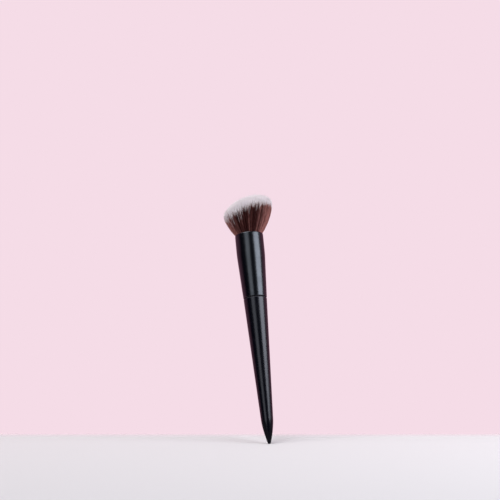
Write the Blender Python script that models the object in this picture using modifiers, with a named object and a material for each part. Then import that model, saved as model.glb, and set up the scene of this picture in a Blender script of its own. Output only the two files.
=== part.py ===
"""Angled blush brush: a turned wooden handle glued into a drawn ferrule, which holds a
tied and potted tuft of hairs with a domed top that slants.

Metres, +Z along the brush from the handle's tip to the hair. The origin is the middle of
the small flat at the tip, and the tuft's high side is towards +X.
"""

import math

import bmesh
import bpy
from mathutils import Matrix, Vector

COLLECTION_NAME = "angled_blush_brush"

# Clearance between pieces that touch, and fineness
SEAT_GAP = 0.0003
MERGE_DISTANCE = 0.00001
OUTER_STEPS = 64
INNER_STEPS = 36
BEND_POINTS = 5
EDGE_POINTS = 3
SHARP_DEG = 30

# Handle, from the tip to the joint with the ferrule
HANDLE_LENGTH = 0.1037
TIP_RADIUS = 0.0009
TIP_EASE = 0.00035
CONE_LENGTH = 0.0150
CONE_BELLY = 0.0002
SHOULDER_RADIUS = 0.00417
SHOULDER_EASE = 0.0020
JOINT_STEP = 0.00009
JOINT_CHAMFER = 0.00025

# Tenon, the turned-down end of the handle, with its film of adhesive
TENON_LENGTH = 0.0160
TENON_CHAMFER = 0.0008
GLUE_FILM = 0.00035
GLUE_GROOVES = 2
GLUE_GROOVE_WIDTH = 0.0014
GLUE_GROOVE_DEPTH = 0.0004

# Ferrule
FERRULE_LENGTH = 0.0468
FERRULE_WALL = 0.0004
FERRULE_FOOT_RADIUS = 0.00840
BARREL_RADIUS = 0.01018
BARREL_LENGTH = 0.0148
BARREL_SWEEP = 0.0030
MOUTH_ROLL_IN = 0.00013
MOUTH_ROLL_LENGTH = 0.0009

# Binding thread round the tied roots
THREAD_RADIUS = 0.00025
THREAD_LOOPS = 5
THREAD_LOOP_POINTS = 24
THREAD_PITCH = 0.00098
WAIST_END_ROOM = 0.0006

# Tuft: the roots, packed solid below the mouth
ROOT_DEPTH = 0.0008
COLLAR_LENGTH = 0.0045
BUTT_LENGTH = 0.0030

# Resin plug, a cup round the tied roots
PLUG_WALL = 0.0008
PLUG_FLOOR = 0.0040
PLUG_DISH = 0.0008

# Tuft: the hairs
STRAND_RINGS = 10
LATTICE_SWIRL_DEG = 24
HAIR_FLARE_DEG = 38
HAIR_BEND_SHARE = 0.54
HEIGHT_SHARES = (0.26, 0.52, 0.76)
FULLNESS_SHARES = (0.86, 0.8, 0.6)

# Tuft: the slanted ellipsoid that the hair tips reach, and how far round it they go
DOME_HALF_WIDTH = 0.0196
DOME_HALF_DEPTH = 0.0172
DOME_RISE = 0.0113
DOME_HEIGHT = 0.01675
DOME_SIDE_SHIFT = 0.0011
DOME_SLANT_DEG = 18.5
RIM_SIDE_DEG = 74
RIM_DEPTH_DEG = 60
RIM_TURN_DEG = 9

# Radii that follow the ferrule's foot
HANDLE_TOP_RADIUS = FERRULE_FOOT_RADIUS - JOINT_STEP
TENON_RADIUS = FERRULE_FOOT_RADIUS - FERRULE_WALL - GLUE_FILM - 2 * SEAT_GAP

# Places along the brush
FERRULE_FOOT = HANDLE_LENGTH + SEAT_GAP
MOUTH = FERRULE_FOOT + FERRULE_LENGTH
BARREL_FOOT = MOUTH - BARREL_LENGTH
TENON_TOP = HANDLE_LENGTH + TENON_LENGTH
ROOT_TOP = MOUTH - ROOT_DEPTH
COLLAR_FOOT = ROOT_TOP - COLLAR_LENGTH
THREAD_RISE = THREAD_LOOPS * THREAD_PITCH
WAIST_LENGTH = THREAD_RISE + 2 * (THREAD_RADIUS + WAIST_END_ROOM)
BUTT_TOP = COLLAR_FOOT - WAIST_LENGTH
BUTT_FOOT = BUTT_TOP - BUTT_LENGTH
PLUG_FOOT = BUTT_FOOT - SEAT_GAP - PLUG_FLOOR


# Outlines of turned pieces: (radius, height) points from the top down the outer side


def point(radius, height):
    return Vector((radius, height))


def toward(start, end, distance):
    return start + (end - start).normalized() * distance


def eased(start, corner, end, count):
    """Points of the quadratic curve that runs from start to end and leans on corner."""
    points = []
    for i in range(count):
        t = i / (count - 1)
        points.append(start.lerp(corner, t).lerp(corner.lerp(end, t), t))
    return points


def chamfered(before, corner, after, reach):
    return [toward(corner, before, reach), toward(corner, after, reach)]


def eased_corner(before, corner, after, reach, count=EDGE_POINTS):
    start, end = chamfered(before, corner, after, reach)
    return eased(start, corner, end, count)


def radius_at(side, height):
    """Radius of an outline's side at a height, held at its ends."""
    for upper, lower in zip(side, side[1:]):
        if upper.y >= height >= lower.y and upper.y > lower.y:
            share = (height - lower.y) / (upper.y - lower.y)
            return lower.lerp(upper, share).x
    return side[0].x if height > side[0].y else side[-1].x


def ferrule_side():
    """Outer side of the ferrule: rolled mouth, straight barrel, then the taper to its foot."""
    shoulder = point(BARREL_RADIUS, MOUTH)
    mouth = point(BARREL_RADIUS - MOUTH_ROLL_IN, MOUTH)
    barrel_foot = point(BARREL_RADIUS, BARREL_FOOT)
    foot = point(FERRULE_FOOT_RADIUS, FERRULE_FOOT)
    side = eased(mouth, shoulder, toward(shoulder, barrel_foot, MOUTH_ROLL_LENGTH), EDGE_POINTS)
    side += eased_corner(shoulder, barrel_foot, foot, BARREL_SWEEP, BEND_POINTS)
    side.append(toward(foot, barrel_foot, JOINT_CHAMFER))
    return side


def lining_radius(height):
    """Radius of what sits in the ferrule's bore at a height, with its seat gap."""
    return radius_at(ferrule_side(), height) - FERRULE_WALL - SEAT_GAP


def ferrule_outline():
    side = ferrule_side()
    foot = point(FERRULE_FOOT_RADIUS - JOINT_CHAMFER, FERRULE_FOOT)
    bore_foot = point(FERRULE_FOOT_RADIUS - FERRULE_WALL, FERRULE_FOOT)
    bore = [point(p.x - FERRULE_WALL, p.y) for p in reversed(side[:-1])]
    return side + [foot, bore_foot] + bore


def glue_groove(height):
    half_width = GLUE_GROOVE_WIDTH / 2
    return [
        point(TENON_RADIUS, height + half_width),
        point(TENON_RADIUS - GLUE_GROOVE_DEPTH, height),
        point(TENON_RADIUS, height - half_width),
    ]


def tenon_side():
    side = [
        point(0, TENON_TOP),
        point(TENON_RADIUS - TENON_CHAMFER, TENON_TOP),
        point(TENON_RADIUS, TENON_TOP - TENON_CHAMFER),
    ]
    for groove in range(GLUE_GROOVES):
        share = (groove + 1) / (GLUE_GROOVES + 1)
        side += glue_groove(TENON_TOP - share * TENON_LENGTH)
    side.append(point(TENON_RADIUS, HANDLE_LENGTH))
    return side


def handle_outline():
    """Tenon, joint shoulder, long taper, the soft shoulder over the cone, and the cone."""
    top = point(HANDLE_TOP_RADIUS, HANDLE_LENGTH)
    shoulder = point(SHOULDER_RADIUS, CONE_LENGTH)
    tip = point(TIP_RADIUS, 0)
    tip_centre = point(0, 0)
    cone_side = (shoulder - tip).normalized()
    belly = (shoulder + tip) / 2 + 2 * CONE_BELLY * point(cone_side.y, -cone_side.x)
    joint = chamfered(point(0, HANDLE_LENGTH), top, shoulder, JOINT_CHAMFER)
    ease = eased_corner(top, shoulder, belly, SHOULDER_EASE, BEND_POINTS)
    nose = eased_corner(belly, tip, tip_centre, TIP_EASE)
    cone = eased(ease[-1], belly, nose[0], BEND_POINTS)[1:-1]
    return tenon_side() + joint + ease + cone + nose + [tip_centre]


def glue_outline():
    """Even sleeve of adhesive on the tenon, which fills the tight foot of the ferrule."""
    bore = TENON_RADIUS + SEAT_GAP
    top = TENON_TOP - TENON_CHAMFER
    return [
        point(bore + GLUE_FILM, top),
        point(bore + GLUE_FILM, FERRULE_FOOT),
        point(bore, FERRULE_FOOT),
        point(bore, top),
    ]


def butt_radius():
    """The tied roots' radius, which leaves the resin its wall."""
    return lining_radius(BUTT_FOOT) - PLUG_WALL - SEAT_GAP


def waist_radius():
    """The thread lies in a waist as deep as itself."""
    return butt_radius() - SEAT_GAP - 2 * THREAD_RADIUS


def plug_outline():
    """Resin cup: open towards the tied roots, with a dished foot where it was poured."""
    rim = COLLAR_FOOT - SEAT_GAP
    bore = butt_radius() + SEAT_GAP
    floor = BUTT_FOOT - SEAT_GAP
    side = [point(lining_radius(rim), rim)]
    if rim > BARREL_FOOT > PLUG_FOOT:
        side.append(point(lining_radius(BARREL_FOOT), BARREL_FOOT))
    side.append(point(lining_radius(PLUG_FOOT), PLUG_FOOT))
    recess = [point(0, floor), point(bore, floor), point(bore, rim)]
    return recess + side + [point(0, PLUG_FOOT + PLUG_DISH)]


# Hairs: each starts in a unit disc of root places and follows one flow to the dome


def root_radius():
    """Radius of the outermost hairs' roots, so that they clear the mouth as they flare."""
    bore = radius_at(ferrule_side(), MOUTH) - FERRULE_WALL
    return bore - SEAT_GAP - ROOT_DEPTH * math.tan(math.radians(HAIR_FLARE_DEG))


def hair_root(place):
    return Vector((root_radius() * place.x, root_radius() * place.y, ROOT_TOP))


def hair_tip(place):
    """The end of the hair with this root place, on the slanted ellipsoid."""
    lean = Vector((RIM_SIDE_DEG * place.x, RIM_DEPTH_DEG * place.y))
    polar = math.radians(lean.length)
    side = lean.normalized() * math.sin(polar)
    ray = Matrix.Rotation(math.radians(RIM_TURN_DEG), 3, "Y") @ Vector((*side, math.cos(polar)))
    on_dome = Vector((ray.x * DOME_HALF_WIDTH, ray.y * DOME_HALF_DEPTH, ray.z * DOME_RISE))
    slant = Matrix.Rotation(math.radians(-DOME_SLANT_DEG), 3, "Y")
    return slant @ on_dome + Vector((DOME_SIDE_SHIFT, 0, MOUTH + DOME_HEIGHT))


def along_hair(place, share):
    """A point of the hair: it leaves the root at its flare and bends up to its tip."""
    root = hair_root(place)
    tip = hair_tip(place)
    flare = math.tan(math.radians(HAIR_FLARE_DEG))
    leaving = Vector((flare * place.x, flare * place.y, 1)).normalized()
    bend = root + leaving * (tip - root).length * HAIR_BEND_SHARE
    return root.lerp(bend, share).lerp(bend.lerp(tip, share), share)


def ring_place(ring, step):
    """Root place of a lattice point: hexagon rings, each bent to a circle and turned a
    little further than the last, so that no lane runs straight through the tuft."""
    if ring == 0:
        return Vector((0, 0, 0))
    share = ring / STRAND_RINGS
    angle = 2 * math.pi * step / (6 * ring) + share * math.radians(LATTICE_SWIRL_DEG)
    return Vector((share * math.cos(angle), share * math.sin(angle), 0))


def add_root_lattice(bm, place_layer):
    """The slice's top as a round triangular lattice. Returns its upward triangles, which
    touch only at corners, so that a hair can rise from each."""
    rings = []
    for ring in range(STRAND_RINGS + 1):
        corners = []
        for step in range(max(6 * ring, 1)):
            place = ring_place(ring, step)
            corner = bm.verts.new(hair_root(place))
            corner[place_layer] = place
            corners.append(corner)
        rings.append(corners)
    upward = []
    for ring in range(1, STRAND_RINGS + 1):
        outer, inner = rings[ring], rings[ring - 1]
        for side in range(6):
            for i in range(ring):
                left = outer[side * ring + i]
                right = outer[(side * ring + i + 1) % len(outer)]
                below = inner[(side * (ring - 1) + i) % len(inner)]
                based_outside = bm.faces.new((left, right, below))
                if side % 2 == 0:
                    upward.append(based_outside)
                if i == ring - 1:
                    continue
                beside = inner[(side * (ring - 1) + i + 1) % len(inner)]
                based_inside = bm.faces.new((right, beside, below))
                if side % 2 == 1:
                    upward.append(based_inside)
    return upward


def middle_place(corners, place_layer):
    return sum((v[place_layer] for v in corners), Vector((0, 0, 0))) / len(corners)


def grow_hairs(bm, faces, place_layer):
    """Raises a three-sided strand from each face, section by section, then its point."""
    for height_share, fullness_share in zip(HEIGHT_SHARES, FULLNESS_SHARES):
        faces = bmesh.ops.extrude_discrete_faces(bm, faces=faces)["faces"]
        for face in faces:
            middle = middle_place(face.verts, place_layer)
            for corner in face.verts:
                place = middle.lerp(corner[place_layer], fullness_share)
                corner.co = along_hair(place, height_share)
    pointed = bmesh.ops.poke(bm, faces=faces)
    for tip in pointed["verts"]:
        corners = [edge.other_vert(tip) for edge in tip.link_edges]
        tip.co = hair_tip(middle_place(corners, place_layer))
    for face in pointed["faces"]:
        face.material_index = 1


def root_rings():
    """(radius, height) rings of the packed roots below the lattice: collar, waist, butt."""
    return [
        (lining_radius(ROOT_TOP), ROOT_TOP),
        (lining_radius(COLLAR_FOOT), COLLAR_FOOT),
        (waist_radius(), COLLAR_FOOT),
        (waist_radius(), BUTT_TOP),
        (butt_radius(), BUTT_TOP),
        (butt_radius(), BUTT_FOOT),
    ]


def open_rim(bm):
    return [edge for edge in bm.edges if edge.is_boundary]


def grow_root(bm):
    """Extrudes the lattice's rim down through the root rings and closes the butt."""
    for radius, height in root_rings():
        bmesh.ops.extrude_edge_only(bm, edges=open_rim(bm))
        for corner in {v for edge in open_rim(bm) for v in edge.verts}:
            outward = corner.co.xy.normalized() * radius
            corner.co = Vector((outward.x, outward.y, height))
    bmesh.ops.holes_fill(bm, edges=open_rim(bm))


# Objects


def clear_scene():
    for old in list(bpy.data.objects):
        bpy.data.objects.remove(old, do_unlink=True)


def add_collection(name):
    collection = bpy.data.collections.new(name)
    bpy.context.scene.collection.children.link(collection)
    return collection


def finish(name, colour, roughness, metallic=0.0):
    """A Principled material with this look."""
    material = bpy.data.materials.new(name)
    material.use_nodes = True
    shader = material.node_tree.nodes["Principled BSDF"]
    shader.inputs["Base Color"].default_value = (*colour, 1)
    shader.inputs["Roughness"].default_value = roughness
    shader.inputs["Metallic"].default_value = metallic
    return material


def add_piece(collection, name, data, *materials):
    piece = bpy.data.objects.new(name, data)
    for material in materials:
        data.materials.append(material)
    collection.objects.link(piece)
    return piece


def settle(piece):
    """Makes the piece's modifiers its mesh and smooths all but its sharp edges."""
    graph = bpy.context.evaluated_depsgraph_get()
    piece.data = bpy.data.meshes.new_from_object(piece.evaluated_get(graph))
    piece.modifiers.clear()
    piece.data.name = piece.name
    piece.data.set_sharp_from_angle(angle=math.radians(SHARP_DEG))


def turn(collection, name, outline, steps, material, is_ring=False):
    """A turned piece from its outline, which is closed where the piece is a ring."""
    edges = [(i, i + 1) for i in range(len(outline) - 1)]
    if is_ring:
        edges.append((len(outline) - 1, 0))
    mesh = bpy.data.meshes.new(name)
    mesh.from_pydata([(p.x, 0, p.y) for p in outline], edges, [])
    piece = add_piece(collection, name, mesh, material)
    screw = piece.modifiers.new("turn", "SCREW")
    screw.axis = "Z"
    screw.steps = steps
    screw.render_steps = steps
    screw.use_merge_vertices = True
    screw.merge_threshold = MERGE_DISTANCE
    screw.use_smooth_shade = True
    settle(piece)


def add_handle(collection):
    lacquer = finish("black_satin_lacquer", (0.012, 0.012, 0.014), 0.32)
    turn(collection, "handle", handle_outline(), OUTER_STEPS, lacquer)


def add_ferrule(collection):
    anodised = finish("black_anodised_aluminium", (0.02, 0.02, 0.022), 0.28, 1.0)
    turn(collection, "ferrule", ferrule_outline(), OUTER_STEPS, anodised, is_ring=True)


def add_tenon_glue(collection):
    adhesive = finish("cured_adhesive", (0.72, 0.62, 0.4), 0.5)
    turn(collection, "tenon_glue", glue_outline(), INNER_STEPS, adhesive, is_ring=True)


def add_resin_plug(collection):
    resin = finish("cast_epoxy", (0.55, 0.4, 0.2), 0.2)
    turn(collection, "resin_plug", plug_outline(), INNER_STEPS, resin)


def add_bristles(collection):
    bm = bmesh.new()
    place_layer = bm.verts.layers.float_vector.new("root_place")
    upward = add_root_lattice(bm, place_layer)
    grow_root(bm)
    grow_hairs(bm, upward, place_layer)
    bmesh.ops.recalc_face_normals(bm, faces=bm.faces)
    mesh = bpy.data.meshes.new("bristles")
    bm.to_mesh(mesh)
    bm.free()
    brown = finish("brown_hair", (0.09, 0.03, 0.028), 0.6)
    white = finish("white_hair_tips", (0.82, 0.79, 0.81), 0.65)
    add_piece(collection, "bristles", mesh, brown, white)
    print("hairs in the tuft:", len(upward))


def thread_points():
    """A helix in the waist. Its flats, not only its corners, clear the roots."""
    start = BUTT_TOP + WAIST_END_ROOM + THREAD_RADIUS
    flats = math.cos(math.pi / THREAD_LOOP_POINTS)
    radius = (waist_radius() + SEAT_GAP + THREAD_RADIUS) / flats
    points = []
    for i in range(THREAD_LOOPS * THREAD_LOOP_POINTS + 1):
        turns = i / THREAD_LOOP_POINTS
        angle = 2 * math.pi * turns
        height = start + THREAD_PITCH * turns
        points.append(Vector((radius * math.cos(angle), radius * math.sin(angle), height)))
    return points


def least_thread_gap(points):
    """Least free distance between the thread's turns, over points half a turn apart."""
    apart = THREAD_LOOP_POINTS // 2
    pairs = ((a, b) for i, a in enumerate(points) for b in points[i + apart :])
    return min((a - b).length for a, b in pairs) - 2 * THREAD_RADIUS


def add_binding_thread(collection):
    points = thread_points()
    curve = bpy.data.curves.new("binding_thread", "CURVE")
    curve.dimensions = "3D"
    curve.bevel_depth = THREAD_RADIUS
    curve.bevel_resolution = 1
    curve.use_fill_caps = True
    spline = curve.splines.new("POLY")
    spline.points.add(len(points) - 1)
    for spot, place in zip(spline.points, points):
        spot.co = (*place, 1)
    cotton = finish("waxed_thread", (0.75, 0.7, 0.6), 0.8)
    add_piece(collection, "binding_thread", curve, cotton)
    print(f"least gap between the thread's turns: {least_thread_gap(points):.5f} m")


def build():
    clear_scene()
    collection = add_collection(COLLECTION_NAME)
    add_handle(collection)
    add_ferrule(collection)
    add_tenon_glue(collection)
    add_resin_plug(collection)
    add_binding_thread(collection)
    add_bristles(collection)


build()
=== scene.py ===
"""Angled blush brush: a turned wooden handle in black satin lacquer, a drawn ferrule in black
anodised aluminium and a dense, slanted tuft of two-tone synthetic hair, on a pale floor.

Metres, +Z along the brush from the handle's tip to the hair. The tuft's high side is towards
+X. The room is the space round the brush as it leans: X to the right, Y away from the
camera and Z up, from the spot that the tip stands on.
"""

import functools
import math

import bpy
import numpy as np
from mathutils import Matrix, Vector


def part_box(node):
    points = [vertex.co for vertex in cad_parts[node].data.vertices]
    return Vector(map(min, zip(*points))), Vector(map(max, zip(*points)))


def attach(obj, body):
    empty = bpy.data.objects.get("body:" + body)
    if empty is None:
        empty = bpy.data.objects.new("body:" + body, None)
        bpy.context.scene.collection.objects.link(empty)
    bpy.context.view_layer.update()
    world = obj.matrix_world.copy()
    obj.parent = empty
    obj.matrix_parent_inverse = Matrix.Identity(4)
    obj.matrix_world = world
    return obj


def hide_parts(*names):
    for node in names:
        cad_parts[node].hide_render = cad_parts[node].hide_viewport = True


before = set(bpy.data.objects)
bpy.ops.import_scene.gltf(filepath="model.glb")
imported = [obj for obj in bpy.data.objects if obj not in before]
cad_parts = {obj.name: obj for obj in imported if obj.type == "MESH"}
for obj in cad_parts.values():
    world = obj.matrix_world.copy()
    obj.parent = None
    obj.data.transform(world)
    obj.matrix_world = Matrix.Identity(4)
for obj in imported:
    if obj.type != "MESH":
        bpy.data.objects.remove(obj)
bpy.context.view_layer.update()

bl_info = {
    "name": "Angled Blush Brush",
    "version": (1, 0, 0),
    "blender": (4, 5, 0),
    "location": "3D View > Sidebar > Brush",
    "description": "Makes an angled blush brush with two-tone hair, and a studio round it",
    "category": "Add Mesh",
}

BODY = "root"

FERRULE_LOW, FERRULE_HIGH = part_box("ferrule")
HANDLE_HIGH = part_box("handle")[1]
ROOT_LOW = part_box("bristles")[0]

# Room: how far the brush leans back and to the left
LEAN_BACK_DEG = 16.6
LEAN_LEFT_DEG = 5.6
ROOM_FROM_PART = Matrix.Rotation(math.radians(-LEAN_LEFT_DEG), 4, "Y") @ Matrix.Rotation(
    math.radians(-LEAN_BACK_DEG), 4, "X"
)
PART_FROM_ROOM = ROOM_FROM_PART.inverted()

# Fineness of turned pieces: steps round, points on bends and edges, and lengths in metres
TURN_STEPS = 144
BEND_POINTS = 9
EDGE_POINTS = 7
LONGEST_RUN = 0.0015
MERGE_DISTANCE = 0.000002

# Clearance between pieces that touch, as in the solids
SEAT_GAP = 0.0003

GOLDEN_ANGLE = math.pi * (3 - math.sqrt(5))


# Settings


def length(name, description, default):
    return bpy.props.FloatProperty(
        name=name, description=description, default=default, min=0, unit="LENGTH", precision=5
    )


def angle(name, description, degrees):
    return bpy.props.FloatProperty(
        name=name, description=description, default=math.radians(degrees), subtype="ANGLE"
    )


def share(name, description, default):
    return bpy.props.FloatProperty(
        name=name, description=description, default=default, min=0, max=1, subtype="FACTOR"
    )


def count(name, description, default):
    return bpy.props.IntProperty(name=name, description=description, default=default, min=1)


def strength(name, description, default):
    return bpy.props.FloatProperty(name=name, description=description, default=default, min=0)


def linear(hex_colour):
    """Linear RGBA of an sRGB hex colour such as "#0c0c0e"."""
    channels = [int(hex_colour[i : i + 2], 16) / 255 for i in (1, 3, 5)]
    return (*(c / 12.92 if c <= 0.04045 else ((c + 0.055) / 1.055) ** 2.4 for c in channels), 1)


def colour(name, description, hex_colour):
    rgba = linear(hex_colour)
    return bpy.props.FloatVectorProperty(
        name=name, description=description, default=rgba, size=4, min=0, max=1, subtype="COLOR"
    )


class BRUSH_PG_handle(bpy.types.PropertyGroup):
    joint_height: length("Joint height", "From the tip to the ferrule", FERRULE_LOW.z - SEAT_GAP)
    top_radius: length("Top radius", "Radius at the joint", 0.00831)
    joint_step: length("Joint step", "How far under the joint the lip starts", 0.00055)
    joint_ease: length("Joint rounding", "How far the joint's edge is rounded", 0.0003)
    shoulder_height: length("Shoulder height", "Where the long taper meets the cone", 0.015)
    shoulder_radius: length("Shoulder radius", "Radius where the taper meets the cone", 0.00417)
    shoulder_ease: length("Shoulder rounding", "How far the shoulder is rounded", 0.002)
    cone_belly: length("Cone belly", "How far the cone swells beyond straight", 0.00025)
    tip_radius: length("Tip radius", "Radius of the blunt tip", 0.00095)
    tip_ease: length("Tip rounding", "How far the tip's edge is rounded", 0.00065)
    tenon_radius: length("Tenon radius", "Radius of the end glued into the ferrule", 0.00705)
    tenon_ease: length("Tenon rounding", "How far the tenon's end is eased", 0.0008)
    neck_radius: length("Neck radius", "Radius of the lip that hides the glue", 0.00788)
    neck_width: length("Neck width", "Thickness of that lip", 0.00015)
    neck_height: length("Neck height", "How far that lip enters the ferrule", 0.0007)
    groove_width: length("Glue groove width", "Width of the tenon's glue grooves", 0.0014)
    groove_depth: length("Glue groove depth", "Depth of the tenon's glue grooves", 0.0004)
    lacquer: colour("Lacquer", "Colour of the lacquer", "#010106")
    lacquer_thin: colour("Thin lacquer", "Where the lacquer is thin", "#0f0f14")
    # Painted highlight as well as wear: this paler grey also stands in for the bright line along
    # the joint's edge
    lacquer_rubbed_and_highlight: colour("Rubbed lacquer", "Where hands and tables rub it", "#3e3c44")
    sheen_roughness: share("Satin", "Roughness of the lacquer", 0.26)


class BRUSH_PG_ferrule(bpy.types.PropertyGroup):
    wall: length("Wall", "Thickness of the drawn tube", 0.0004)
    foot_radius: length("Foot radius", "Radius at the joint with the handle", 0.0084)
    barrel_radius: length("Barrel radius", "Radius at the mouth", FERRULE_HIGH.x)
    barrel_length: length("Barrel length", "Straight length below the mouth", 0.0148)
    barrel_sweep: length("Sweep", "How far the bend into the taper is rounded", 0.003)
    roll_in: length("Roll", "How far the mouth is rolled in", 0.00013)
    roll_length: length("Roll length", "Length of the mouth's roll", 0.0009)
    foot_ease: length("Foot rounding", "How far the foot's edge is rounded", 0.0003)
    anodised: colour("Anodised black", "Colour of the dyed oxide", "#3e4044")
    worn: colour("Worn edge", "Where the oxide is thin at the tube's ends", "#8b8c91")
    sheen_roughness: share("Satin", "Roughness of the oxide", 0.25)


class BRUSH_PG_tuft(bpy.types.PropertyGroup):
    seed: count("Seed", "Start of the random draws", 11)
    fibres: count("Fibres", "Hairs in the tuft", 16000)
    clumps: count("Locks", "Locks that the hairs gather in", 1300)
    sectors: count("Sectors", "Streaks of like dye round the tuft", 140)
    fibre_radius: length("Fibre radius", "Radius of a hair at its root", 0.000075)
    root_depth: length("Root depth", "How far under the mouth the hairs leave the root", 0.0008)
    embedded: length("Embedded", "How far the hairs reach into the root", 0.0006)
    collar_length: length("Collar", "Length of the root above its waist", 0.0045)
    butt_length: length("Butt", "Length of the root under its waist", 0.003)
    waist_depth: length("Waist depth", "How far the tied waist is drawn in", 0.0008)
    plug_wall: length("Resin wall", "Resin round the butt", 0.0008)
    flare: angle("Flare", "How far the outermost hairs lean as they leave", 38)
    bend_share: share("Bend", "Where along a hair it bends up", 0.54)
    dome_half_width: length("Dome half width", "Across the tuft's wide side", 0.0196)
    dome_half_depth: length("Dome half depth", "Across the tuft's narrow side", 0.0172)
    dome_rise: length("Dome rise", "Height of the dome", 0.0113)
    dome_height: length("Dome height", "Middle of the dome above the mouth", 0.01675)
    dome_shift: length("Dome shift", "Middle of the dome towards the high side", 0.0011)
    dome_slant: angle("Slant", "Tilt of the dome", 18.5)
    rim_side: angle("Rim, side", "How far round the dome the hairs go to the sides", 74)
    rim_depth: angle("Rim, front", "How far round the dome they go to front and back", 60)
    rim_turn: angle("Rim turn", "How far the rim is turned on the dome", 9)
    clump_pull: share("Clump pull", "How far a lock's tips draw together", 0.12)
    white_reach: length("White length", "White length at a hair's tip", 0.0062)
    white_fade: length("Fade", "Length over which white turns to brown", 0.0026)
    brown: colour("Brown", "Dyed colour of the hairs", "#2a0506")
    brown_thin: colour("Thin brown", "Where the dye runs out towards the tip", "#96665f")
    # Mixed in by each hair's tint, which is partly its dye and partly painted light, paler towards
    # the tuft's sides
    brown_light: colour("Light brown", "Hairs that took less dye", "#bc807a")
    white: colour("White", "Undyed tips", "#fff9fc")
    white_dull: colour("Dull white", "Tips with a trace of dye", "#f9f0f4")


class BRUSH_PG_inside(bpy.types.PropertyGroup):
    resin: colour("Resin", "Colour of the cast epoxy", "#a9793a")
    glue: colour("Glue", "Colour of the cured wood glue", "#cdb98a")
    thread: colour("Thread", "Colour of the waxed cotton", "#d8ccb0")


class BRUSH_PG_studio(bpy.types.PropertyGroup):
    backdrop: colour("Backdrop", "Colour behind the brush", "#f5dce7")
    # Painted light: the floor is painted paler at the back, where the lamps' light falls off, so
    # that it looks evenly lit
    floor: colour("Floor", "Colour of the floor in front", "#d4d4d5")
    floor_back: colour("Floor, back", "Colour of the floor at the brush", "#e9e7e8")
    lens: bpy.props.FloatProperty(
        name="Lens", description="Focal length in millimetres", default=86.6, min=1
    )
    camera_place: bpy.props.FloatVectorProperty(
        name="Camera",
        description="Place of the camera in the room",
        default=(-0.0134, -0.8282, 0.1334),
        subtype="TRANSLATION",
    )
    key_power: strength("Key", "Power of the big softbox on the right", 4.45)
    fill_power: strength("Fill", "Power of the dim strip on the left", 1.19)
    top_power: strength("Top", "Power of the soft lamp overhead", 4.8)
    ambient: strength("Ambient", "Strength of the room's soft light", 0.3)


# Outlines of turned pieces: (radius, height) points from the top down the outer side


def point(radius, height):
    return Vector((radius, height))


def toward(start, end, distance):
    return start + (end - start).normalized() * distance


def eased(start, corner, end, points):
    """Points of the quadratic curve that runs from start to end and leans on corner."""
    curve = []
    for i in range(points):
        t = i / (points - 1)
        curve.append(start.lerp(corner, t).lerp(corner.lerp(end, t), t))
    return curve


def eased_corner(before, corner, after, reach, points=EDGE_POINTS):
    """A rounded corner. A point just outside it on each side keeps the long sides flat."""
    start, end = toward(corner, before, reach), toward(corner, after, reach)
    outside = reach * 0.5
    return [
        toward(start, before, min(outside, (before - start).length / 2)),
        *eased(start, corner, end, points),
        toward(end, after, min(outside, (after - end).length / 2)),
    ]


def filled(outline):
    """The outline with points added where a run is long."""
    points = [outline[0]]
    for start, end in zip(outline, outline[1:]):
        steps = max(1, math.ceil((end - start).length / LONGEST_RUN))
        points += [start.lerp(end, (i + 1) / steps) for i in range(steps)]
    return points


def radius_at(side, height):
    """Radius of an outline's side at a height, held at its ends."""
    for upper, lower in zip(side, side[1:]):
        if upper.y >= height >= lower.y and upper.y > lower.y:
            return lower.lerp(upper, (height - lower.y) / (upper.y - lower.y)).x
    return side[0].x if height > side[0].y else side[-1].x


def tenon_outline(handle):
    """The end that is glued into the ferrule: eased end, two glue grooves, bare below."""
    top = HANDLE_HIGH.z
    centre, edge = point(0, top), point(handle.tenon_radius, top)
    side = [centre, *eased_corner(centre, edge, point(edge.x, 0), handle.tenon_ease)]
    for groove in (1, 2):
        middle = top - groove / 3 * (top - handle.joint_height)
        half = handle.groove_width / 2
        side.append(point(handle.tenon_radius, middle + half))
        side.append(point(handle.tenon_radius - handle.groove_depth, middle))
        side.append(point(handle.tenon_radius, middle - half))
    side.append(point(handle.tenon_radius, handle.joint_height))
    return side


def handle_outline(handle):
    """Tenon, a lip that closes the joint, long taper, soft shoulder, and the cone."""
    edge_height = handle.joint_height - handle.joint_step
    inner = point(handle.neck_radius, edge_height)
    neck_top = handle.joint_height + handle.neck_height
    neck = [
        point(handle.neck_radius - handle.neck_width, handle.joint_height),
        point(handle.neck_radius - handle.neck_width, neck_top),
        point(handle.neck_radius, handle.joint_height),
        inner,
    ]
    top = point(handle.top_radius, edge_height)
    shoulder = point(handle.shoulder_radius, handle.shoulder_height)
    tip = point(handle.tip_radius, 0)
    centre = point(0, 0)
    cone_side = (shoulder - tip).normalized()
    belly = (shoulder + tip) / 2 + 2 * handle.cone_belly * point(cone_side.y, -cone_side.x)
    joint = eased_corner(inner, top, shoulder, handle.joint_ease)
    ease = eased_corner(top, shoulder, belly, handle.shoulder_ease, BEND_POINTS)
    nose = eased_corner(belly, tip, centre, handle.tip_ease, BEND_POINTS)
    cone = eased(ease[-1], belly, nose[0], BEND_POINTS)[1:-1]
    return filled(tenon_outline(handle) + neck + joint + ease + cone + nose + [centre])


def ferrule_side(ferrule):
    """Outer side of the ferrule: rolled mouth, straight barrel, then the taper."""
    mouth_height, foot_height = FERRULE_HIGH.z, FERRULE_LOW.z
    shoulder = point(ferrule.barrel_radius, mouth_height)
    mouth = point(ferrule.barrel_radius - ferrule.roll_in, mouth_height)
    barrel_foot = point(ferrule.barrel_radius, mouth_height - ferrule.barrel_length)
    foot = point(ferrule.foot_radius, foot_height)
    roll_end = toward(shoulder, barrel_foot, ferrule.roll_length)
    side = eased(mouth, shoulder, roll_end, EDGE_POINTS)
    return side + eased_corner(shoulder, barrel_foot, foot, ferrule.barrel_sweep, BEND_POINTS)


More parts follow.
